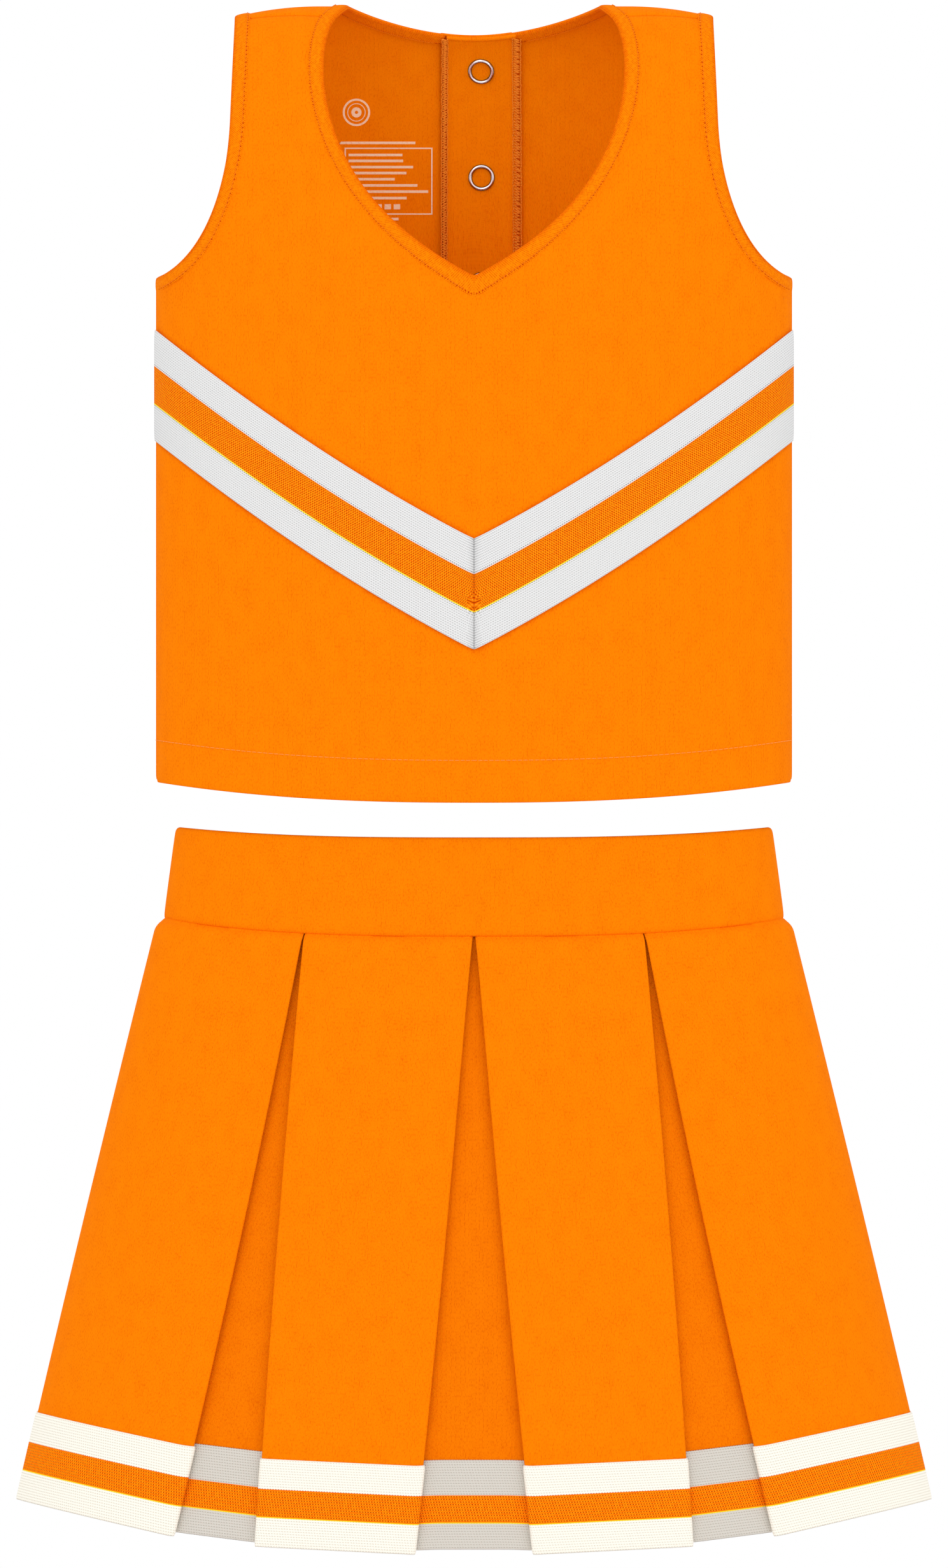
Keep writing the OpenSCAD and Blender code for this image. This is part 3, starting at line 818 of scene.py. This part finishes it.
def bind(bm, edge, start, stop, rows, side, flip, mitred=False):
    """A strip of binding round an edge. flip turns the strip's face out, and a mitred start dips."""
    table = edge_table(edge, start, stop)

    def place(s, t):
        t = 1 - t if flip else t
        inset, out = profile_at(BINDING, s)
        d = read(table, t * EDGE_STEPS)
        turn, climb = edge(mix(start, stop, t), inset * MM)
        if mitred:
            out = mix(-0.6, out, min(1, max(0, d) / (1.1 * MM) * 0.35 + 0.65))
        return on_shell(side * turn, climb, out * MM), (d, inset * MM * (1 if s > 0.5 else -1))
    lay(bm, len(BINDING) - 1, rows, place)


STITCH = ((0, -0.3, 0.35), (0.16, 0.0, 0.8), (0.5, 0.12, 1), (0.84, 0.0, 0.8))


def sewn(bm, at, length, pitch, radius):
    """A row of stitches. at(d, out) is the place d along it and out from the cloth."""
    points = [((i + share) * pitch, lift * MM, radius * thick)
              for i in range(int(length / pitch)) for share, lift, thick in STITCH]
    thread(bm, [at(d, lift) for d, lift, _ in points], [thick for _, _, thick in points])


def topstitch(bm, edge, start, stop, side, inset, out, pitch, radius=0.13 * MM):
    """A row of stitches at an inset from an edge, on the outside or the inside of the cloth."""
    table = edge_table(edge, start, stop)

    def at(d, lift):
        turn, climb = edge(mix(start, stop, place_at(table, d) / EDGE_STEPS), inset)
        return on_shell(side * turn, climb, out + math.copysign(lift, out))
    sewn(bm, at, table[-1], pitch, radius)


BINDING_KNIT = 0.5 * MM
STITCH_INSET = 5.05 * MM
STITCH_OUT = 0.4 * MM
STITCH_BEHIND = -1.88 * MM

bm = bmesh.new()
bind(bm, neck, 0, 2, 92, 1, False, True)
bind(bm, neck, 0, 2, 92, -1, True, True)
neck_front = finish_piece("neck_binding_front_cloth", bm, neck_rib, BINDING_KNIT)
on_body(neck_front, "top", "binding_knit", "neck_binding_front")
bm = bmesh.new()
for side in (1, -1):
    topstitch(bm, neck, 0.04, 1.99, side, STITCH_INSET, STITCH_OUT, NECK_PITCH)
neck_front_thread = finish_piece("neck_front_stitches", bm, stitch_thread, soften=0)

bm = bmesh.new()
bind(bm, neck, 2.005, neck_at(12.5 * MM), 44, 1, False, True)
neck_right = finish_piece("neck_binding_right_cloth", bm, neck_rib, BINDING_KNIT)
on_body(neck_right, "top", "binding_knit", "neck_binding_back_right")
bm = bmesh.new()
for out in (STITCH_OUT, STITCH_BEHIND):
    topstitch(bm, neck, 2.02, neck_at(17 * MM), 1, STITCH_INSET, out, NECK_PITCH)
neck_right_thread = finish_piece("neck_right_stitches", bm, stitch_thread, soften=0)
for threads in (neck_front_thread, neck_right_thread):
    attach(threads, "top")

bm = bmesh.new()
bind(bm, neck, 2.005, neck_at(10.6 * MM), 48, -1, True, True)
neck_left = finish_piece("neck_binding_left_cloth", bm, neck_rib, BINDING_KNIT)
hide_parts("neck_binding_back_left", "neck_binding_flap")
bm = bmesh.new()
for out in (STITCH_OUT, STITCH_BEHIND):
    topstitch(bm, neck, 2.02, neck_at(13.4 * MM), -1, STITCH_INSET, out, NECK_PITCH)
neck_left_thread = finish_piece("neck_left_stitches", bm, stitch_thread, soften=0)
for piece in (neck_left, neck_left_thread):
    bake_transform(piece)

for side, word in ((1, "right"), (-1, "left")):
    bm = bmesh.new()
    bind(bm, armhole, 0, 6, 150, side, side > 0)
    binding = finish_piece(f"armhole_binding_{word}_cloth", bm, armhole_rib, BINDING_KNIT)
    on_body(binding, "top", "binding_knit", f"armhole_binding_{word}")
    bm = bmesh.new()
    topstitch(bm, armhole, 0.08, 5.92, side, STITCH_INSET, STITCH_OUT, ARMHOLE_PITCH)
    threads = finish_piece(f"armhole_stitches_{word}", bm, stitch_thread, soften=0)
    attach(threads, "top")
    on_front += [binding, threads]


# ---- Hem stitching: one row of thread round the top, 15.7 mm above the hem, that holds the
# folded hem up inside.

HEM_STITCH = 15.7 * MM
HEM_PITCH = 2.1 * MM
hem_thread = thread_material("hem_thread", dye(255, 164, 70), dye(238, 100, 4))


def hem_stitches(bm, from_turn, to_turn, behind):
    table = [math.copysign(read(CHEST_GIRTH, abs(turn)), turn) for turn in range(-90, 91)]
    start, stop = (math.copysign(read(CHEST_GIRTH, abs(turn)), turn) for turn in (from_turn, to_turn))

    def row(depth):
        def at(d, lift):
            turn = place_at(table, start + d) - 90
            climb = hem_climb(oval(HALF_CHEST, HALF_DEPTH, turn).x) + HEM_STITCH / DEGREE
            return on_shell(turn, 180 - climb if behind else climb, depth + (-lift if depth < 0 else lift))
        return at
    for depth in (0.02 * MM, -2 * HEM_FOLD):
        sewn(bm, row(depth), stop - start, HEM_PITCH, 0.17 * MM)


bm = bmesh.new()
hem_stitches(bm, -89, 89, False)
hem_stitches(bm, turn_at(18 * MM), 89, True)
hem_thread_top = finish_piece("hem_stitches", bm, hem_thread, soften=0)
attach(hem_thread_top, "top")
bm = bmesh.new()
hem_stitches(bm, -89, turn_at(-14 * MM), True)
hem_thread_left = finish_piece("hem_stitches_left", bm, hem_thread, soften=0)
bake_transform(hem_thread_left)

for cloth, width, length, area, sewn_on in (
        (front, 0.31, 0.335, 0.0765, [*on_front, neck_front, neck_front_thread, hem_thread_top]),
        (back_left, 0.15, 0.36, 0.0395, [neck_left, neck_left_thread, hem_thread_left, care_print]),
        (back_right, 0.147, 0.36, 0.0385, [neck_right, neck_right_thread]),
        (under_band, 0.027, 0.32, None, [placket_overlock]), (over_band, 0.0271, 0.32, None, [])):
    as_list(sewn_on)


# ---- Ring snaps: seven nickel-plated pairs down the placket. A cap ring and a socket hold to the
# upper band, a stud and an inner ring to the lower one. Each part is stamped and clenched.

SNAP_X = 2.8 * MM
SNAP_TOP = 303 * MM
SNAP_PITCH = 40 * MM
SNAPS = 7

nickel, metal = new_material("nickel")
metal_place = metal.add("ShaderNodeTexCoord", None, None, "Object")
metal_normal = metal.add("ShaderNodeTexCoord", None, None, "Normal")
# Painted reflection: the metal is bright where its faces turn to the front and dark on the steep slopes, varied by
# wear.
facing = abs(metal.add("ShaderNodeSeparateXYZ", None, {0: metal_normal}, 1))
wear = metal.add("ShaderNodeTexNoise", None, {"Vector": metal_place, "Scale": 500.0, "Detail": 4.0})
painted_reflection_and_wear = facing.rise(0.45, 0.98) * (0.8 + wear * 0.3)
finish_material(painted_reflection_and_wear.between(dye(84, 88, 94), dye(236, 238, 242)), Roughness=0.2 + wear * 0.1, Metallic=1.0)

# Profiles of (radius, height) in millimetres.
CLENCH_RING = ((4.9, 0), (4.9, 0.3), (4.82, 0.62), (4.62, 0.9), (4.34, 1.04), (4.1, 1.05), (3.84, 0.96),
               (3.62, 0.72), (3.5, 0.42), (3.46, 0.18), (3.46, 0.05), (3.6, 0))
SOCKET = ((4.3, -0.1), (4.3, 0.1), (3.9, 0.35), (3.5, 0.95), (3.2, 1.0), (2.8, 0.95), (2.5, 0.6), (2.4, 0.2),
          (2.5, -0.1))
STUD = ((0, -0.6), (3.7, -0.6), (3.75, -0.5), (3.6, -0.4), (2.3, -0.38), (1.8, -0.25), (1.6, 0.05), (1.85, 0.35),
        (1.9, 0.5), (1.7, 0.7), (1.2, 0.8), (0, 0.8))


def snap_part(name, profile, lift, body, node, down=False):
    """One part of every snap, spun about its axis."""
    bm = bmesh.new()
    corners = [bm.verts.new((r * MM, 0, (h + lift) * MM)) for r, h in profile]
    closed = corners if profile[0][0] == 0 else corners + corners[:1]
    edges = [bm.edges.new(pair) for pair in zip(closed, closed[1:])]
    bmesh.ops.spin(
        bm, geom=corners + edges, cent=(0, 0, 0), axis=(0, 0, 1), angle=2 * math.pi, steps=32, use_merge=True)
    bmesh.ops.remove_doubles(bm, verts=bm.verts, dist=0.002 * MM)
    bmesh.ops.recalc_face_normals(bm, faces=bm.faces)
    first = bm.verts[:] + bm.edges[:] + bm.faces[:]
    for i in range(SNAPS):
        climb = back_climb(SNAP_X, SNAP_TOP - i * SNAP_PITCH)
        centre = on_shell(turn_at(SNAP_X), climb)
        axis = (on_shell(turn_at(SNAP_X), climb, MM) - centre).normalized() * (-1 if down else 1)
        turned = Matrix.Translation(centre) @ axis.to_track_quat("Z", "Y").to_matrix().to_4x4()
        copied = bmesh.ops.duplicate(bm, geom=first)["geom"]
        bmesh.ops.transform(bm, verts=[v for v in copied if isinstance(v, bmesh.types.BMVert)], matrix=turned)
    bmesh.ops.delete(bm, geom=[v for v in first if isinstance(v, bmesh.types.BMVert)], context="VERTS")
    on_body(finish_piece(name, bm, nickel, soften=0), body, "snap_metal", node)


snap_part("snap_caps", CLENCH_RING, 1.6, "back_flap", "snap_cap_rings")
snap_part("snap_sockets_spun", SOCKET, 0, "back_flap", "snap_sockets")
snap_part("snap_studs_spun", STUD, 0, "top", "snap_studs")
snap_part("snap_inner_rings_spun", CLENCH_RING, 2.4, "top", "snap_inner_rings", True)


# ---- Waistband: a casing of the same knit, folded over wide elastic and overlocked to the skirt.
# Its lower edges roll into the waist seam.

WAIST_HALF = Vector((117.1, 46)) * MM
HEM_HALF = Vector((170.2, 82)) * MM
WAIST_LINE = (-18.0 * MM, 6.2 * MM)
SKIRT_HEM = tuple((x * MM, z * MM) for x, z in (
    (0, -243.6), (15, -243.6), (22, -244), (81, -241.1), (112, -237.3), (171, -224)))
BAND_TOP = (18.6 * MM, 3.8 * MM)
BAND_TOP_HALF = Vector((110.1, 42)) * MM
BAND_LOW_HALF = Vector((114.6, 44.4)) * MM


def swept(line, turn):
    return line[0] + line[1] * abs(sin(turn)) ** SQUARENESS


def on_oval(half, turn, out, z):
    """Place on an oval ring at height z, out from it."""
    way = oval(*half, turn + 0.5) - oval(*half, turn - 0.5)
    spot = oval(*half, turn) + out * Vector((way.y, -way.x)).normalized()
    return Vector((spot.x, spot.y, z))


def on_band(turn, v, out):
    half = BAND_LOW_HALF.lerp(BAND_TOP_HALF, v)
    return on_oval(half, turn, out, mix(swept(WAIST_LINE, turn) + 0.6 * MM, swept(BAND_TOP, turn), v))


BAND_GIRTH = lengths([oval(*BAND_LOW_HALF, turn) for turn in range(361)])
BAND_TALL = 38 * MM
BAND_TOP_POINT = 12
BAND_SECTION = (
    (-0.015, -1.5), (-0.015, -0.9), (-0.002, -0.4), (0.03, -0.1), (0.09, 0), (0.3, 0.02), (0.5, 0.03),
    (0.7, 0.02), (0.9, 0), (0.955, -0.06), (0.98, -0.35), (0.995, -0.9), (1.0, -1.6), (0.995, -2.3),
    (0.98, -2.85), (0.955, -3.14), (0.9, -3.2), (0.6, -3.2), (0.3, -3.2), (0.0, -3.2),
)


def band_ring(section):
    """A ring of cloth with a cross-section of (share of the band's height, millimetres out)."""
    def place(s, t):
        v, out = profile_at(section, t)
        up = v if t * (len(section) - 1) < BAND_TOP_POINT else 2 - v
        return on_band(360 * s, v, out * MM), (read(BAND_GIRTH, 360 * s), up * BAND_TALL)
    return place


casing = one_sheet("waistband_casing", 120, len(BAND_SECTION) - 1, band_ring(BAND_SECTION), body_knit, 0.85 * MM)
on_body(casing, "waistband", "body_knit", "waistband")

elastic_material, elastic_along, elastic_up = cloth_material("elastic")
cord = abs(elastic_up / 1.4 % 1 - 0.5) * 2
pick = abs((elastic_along / 1.1 + (elastic_up / 1.4).floor() % 2 * 0.5) % 1 - 0.5) * 2
elastic_colour = (cord * 0.5 + pick * 0.3).between(dye(240, 238, 232), dye(196, 192, 184))
finish_cloth(elastic_colour, 1 - cord * 0.7 - pick * 0.3, 0.2 * MM)
elastic_place = band_ring([(0.07 + 0.1 * i, -1.1) for i in range(9)])
elastic = one_sheet("elastic_band", 120, 8, elastic_place, elastic_material, 1.0 * MM)
on_body(elastic, "waistband", "elastic", "waist_elastic")

seam_place = band_ring([(0.2 - 0.03 * i, -4.3) for i in range(7)])
seam_allowance = one_sheet("waist_allowance", 120, 6, seam_place, body_knit, -0.9 * MM)
on_body(seam_allowance, "waistband", "overlock_thread", "waist_seam")
bm = bmesh.new()
overlock(bm, lambda d, w, out: on_band(place_at(BAND_GIRTH, d), 0.205 - w / BAND_TALL, -4.5 * MM - out),
         BAND_GIRTH[-1], 4.5 * MM, 2.2 * MM, 0.22 * MM)
waist_overlock = finish_piece("waist_overlock", bm, overlock_thread, soften=0)
on_body(waist_overlock, "waistband", "overlock_thread")


# ---- Skirt: eight box-pleat panels of knit, pressed back along both edges, over eight underlays
# that show between them. All are sewn into the waist seam.

PLEAT_EDGES = ((0.05, 4.9), (28.3, 23.9), (28.4, 36.6), (89.7, 80.7))
TUCK = 0.43
RETURN = 0.4
UNDERLAY_OUT = -3.4 * MM
PLEAT_FOLD = 0.68 * MM
PLEAT_CLOTH = 0.6 * MM
SKIRT_LENGTH = 228 * MM
SHOULDER_ROLL = 4.6 * MM
TUCKED_UP = 0.55 * MM
WAIST_DEPTH = 4.6 * MM


def skirt_half(v):
    return WAIST_HALF.lerp(HEM_HALF, v)


def skirt_hem(turn):
    """Height of the hem. Each panel hangs with a straight hem, those at the sides the highest."""
    return along(abs(oval(*HEM_HALF, turn).x), *SKIRT_HEM)


def on_skirt(turn, v, out):
    return on_oval(skirt_half(v), turn, out, mix(swept(WAIST_LINE, turn), skirt_hem(turn), v))


def panel_edges(i, v):
    """Turns of both edges of panel i, v down from the waist."""
    quarter = (i - 1) // 2
    outer = (i % 2 == 0) != (quarter % 2 == 1)
    a, b = (mix(*PLEAT_EDGES[k], v) for k in ((2, 3) if outer else (0, 1)))
    turn = 180 * ((quarter + 1) // 2)
    return (turn + a, turn + b) if quarter % 2 == 0 else (turn - b, turn - a)


def underlay_edges(i, v):
    """Turns of both edges of the underlay before panel i, which reaches behind both panels."""
    before = [turn - (360 if i == 1 else 0) for turn in panel_edges(8 if i == 1 else i - 1, v)]
    after = panel_edges(i, v)
    return before[1] - TUCK * (before[1] - before[0]), after[0] + TUCK * (after[1] - after[0])


girths = {}


def girth(v):
    """Length round the skirt up to each degree from -180 to 540, at v down."""
    key = round(v, 5)
    if key not in girths:
        girths[key] = lengths([oval(*skirt_half(v), turn) for turn in range(-180, 541)])
    return girths[key]


def round_to(v, turn):
    return read(girth(v), turn + 180)


def turn_after(v, distance):
    return place_at(girth(v), distance) - 180


def roll_in(v, deepest):
    """How far the top of the skirt curves in to the waist seam."""
    reach = max(0, min(1, 1 - (v * SKIRT_LENGTH + TUCKED_UP) / (SHOULDER_ROLL + TUCKED_UP)))
    return -deepest * (1 - math.sqrt(1 - reach * reach))


def wrapped(i, levels, lift, returned, corner=0):
    """Cloth over the face of panel i and back round both its pressed edges."""
    radius = PLEAT_FOLD + lift

    def place(s, t):
        v = levels(t)
        start, stop = (round_to(v, turn) for turn in panel_edges(i, v))
        bend = radius * math.pi / 2
        face = stop - start + 2 * (lift - radius + bend)
        back = returned * face
        q = along(s, (0, -back - bend), (0.17, -bend), (0.25, bend),
                  (0.75, face - bend), (0.83, face + bend), (1, face + bend + back))
        near, level = min(q, face - q), v
        if near >= bend:
            reach, out = near - bend + radius, lift
        elif near <= -bend:
            reach, out = -near - bend + radius, lift - 2 * radius
        else:
            reach = radius * (1 - math.cos(near / radius))
            out = lift + radius * (math.sin(near / radius) - 1)
        distance = start + reach - lift if q < face / 2 else stop - reach + lift
        v += corner * max(0, 1 - max(0, near + bend) / (2.6 * MM)) ** 2 * (1 if v < 0.93 else -1)
        out += roll_in(v, WAIST_DEPTH + min(out, 0))
        return on_skirt(turn_after(level, distance), v, out), (q - face / 2, (1 - v) * SKIRT_LENGTH)
    return place


def down(t):
    """Level down the skirt, from its hem up over its rolled top and 4 mm on inside the waistband."""
    return along(t, (0, 1), (0.6, 0.03), (0.8, 0.006), (0.95, 0), (1, -0.018))


TAPE_TALL = 32.6 * MM
PANEL_TAPE = 31.8 * MM
UNDERLAY_TAPE = 32.5 * MM
UNDERLAY_SHORT = 0.9935
TAPE_OUT = 0.72 * MM
TAPE_RETURN = 0.36
TAPE_CORNER = 0.006
skirt_tape = trim_tape("skirt_tape", (10.3, 21.0), dye(249, 245, 233), dye(218, 208, 186))
# The underlays' tape and knit are the panels' tape and knit dyed darker: painted shade for the underlays lying back
# between the panels.
underlay_tape = trim_tape("underlay_tape", (10.3, 20.6), dye(211, 206, 197), dye(180, 171, 156))
underlay_knit_painted_shade = knit("underlay_knit_painted_shade", dye(248, 124, 2), dye(212, 78, 0))


def hinge(edges, out):
    """Where a pleat between those edges meets the waist seam, and a point 55 mm down it."""
    turn = sum(edges) / 2
    return on_skirt(turn, 0, out), on_skirt(turn, 55 * MM / SKIRT_LENGTH, out)


def width_halfway(edges):
    """Width of pleat cloth between two edges, halfway down the skirt."""
    return round_to(0.5, edges[1]) - round_to(0.5, edges[0])


def underlay(i, levels, out):
    def place(s, t):
        v = levels(t) * UNDERLAY_SHORT
        start, stop = (round_to(v, turn) for turn in underlay_edges(i, v))
        distance = mix(start, stop, s)
        return on_skirt(turn_after(v, distance), v, out + roll_in(v, WAIST_DEPTH + out)), (
            distance - (start + stop) / 2, (1 - v) * SKIRT_LENGTH)
    return place


def taped(edges, place, tall):
    """Place function of a tape that tall, along the hem between two edges."""
    turn = (edges[0] + edges[1]) / 2
    top = 1 - tall / (swept(WAIST_LINE, turn) - skirt_hem(turn))
    cloth = place(lambda t: mix(1.004, top, t))

    def moved(s, t):
        spot, (across, up) = cloth(s, t)
        return spot, (across, up / SKIRT_LENGTH / (1 - top) * TAPE_TALL)
    return moved


for i in range(1, 9):
    panel = one_sheet(f"pleat_{i}_cloth", 44, 40, wrapped(i, down, 0, RETURN), body_knit, PLEAT_CLOTH)
    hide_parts(f"pleat_panel_{i}")
    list(hinge(panel_edges(i, 0), 0))
    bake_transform(panel)

    tape_place = taped(
        panel_edges(i, 1), lambda levels: wrapped(i, levels, TAPE_OUT, TAPE_RETURN, TAPE_CORNER), PANEL_TAPE)
    tape = one_sheet(f"pleat_{i}_tape", 52, 10, tape_place, skirt_tape, 0.66 * MM)
    on_body(tape, f"pleat_{i}", "trim_tape", f"panel_tape_{i}")

    under = one_sheet(
        f"underlay_{i}_cloth", 24, 40, underlay(i, down, UNDERLAY_OUT), underlay_knit_painted_shade, PLEAT_CLOTH)
    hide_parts(f"pleat_underlay_{i}")
    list(hinge(underlay_edges(i, 0), UNDERLAY_OUT))
    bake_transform(under)

    tape_place = taped(
        underlay_edges(i, 1), lambda levels: underlay(i, levels, UNDERLAY_OUT + 0.68 * MM), UNDERLAY_TAPE)
    under_tape = one_sheet(f"underlay_{i}_tape", 24, 10, tape_place, underlay_tape, 0.62 * MM)
    on_body(under_tape, f"underlay_{i}", "trim_tape", f"underlay_tape_{i}")

    width_halfway(panel_edges(i, 0.5)) * (1 + 2 * RETURN)
    width_halfway(underlay_edges(i, 0.5))


# ---- The studio: a long lens level with the garment, a pale floor below it, and soft white light
# from all round with a little more from above in front.

EYE_Z = 38.3 * MM
FLOOR_Z = -360 * MM

camera = bpy.data.objects.new("camera", bpy.data.cameras.new("camera"))
camera.location = (0, -15, EYE_Z)
camera.rotation_euler = (math.radians(90), 0, 0)
camera.data.lens = 932.6
camera.data.sensor_width = 36
bpy.context.scene.collection.objects.link(camera)
bpy.context.scene.camera = camera

floor_material, paint = new_material("pale_floor")
floor_place = paint.add("ShaderNodeTexCoord", None, None, "Object")
grain = paint.add("ShaderNodeTexNoise", None, {"Vector": floor_place, "Scale": 30.0})
finish_material((grain * 0.15).between(dye(246, 246, 246), dye(236, 236, 234)), Roughness=0.8)
bm = bmesh.new()
bmesh.ops.create_grid(bm, x_segments=1, y_segments=1, size=3.4)
bmesh.ops.translate(bm, verts=bm.verts, vec=(0, 0, FLOOR_Z))
floor = finish_piece("floor", bm, floor_material, soften=0)

world = bpy.data.worlds.new("studio")
world.use_nodes = True
world.node_tree.nodes["Background"].inputs[0].default_value = (1, 1, 1, 1)
world.node_tree.nodes["Background"].inputs[1].default_value = 1.0
bpy.context.scene.world = world

for name, place, energy in (("key", (-0.9, -2.2, 1.9), 12), ("fill", (1.6, -1.8, 0.6), 5)):
    lamp = bpy.data.lights.new(name, "AREA")
    lamp.size, lamp.energy = 1.6, energy
    light = bpy.data.objects.new(name, lamp)
    light.location = place
    light.rotation_euler = (Vector((0, 0, 0.05)) - light.location).to_track_quat("-Z", "Y").to_euler()
    bpy.context.scene.collection.objects.link(light)

bpy.context.scene.view_settings.view_transform = "Standard"
bpy.context.scene.view_settings.look = "None"
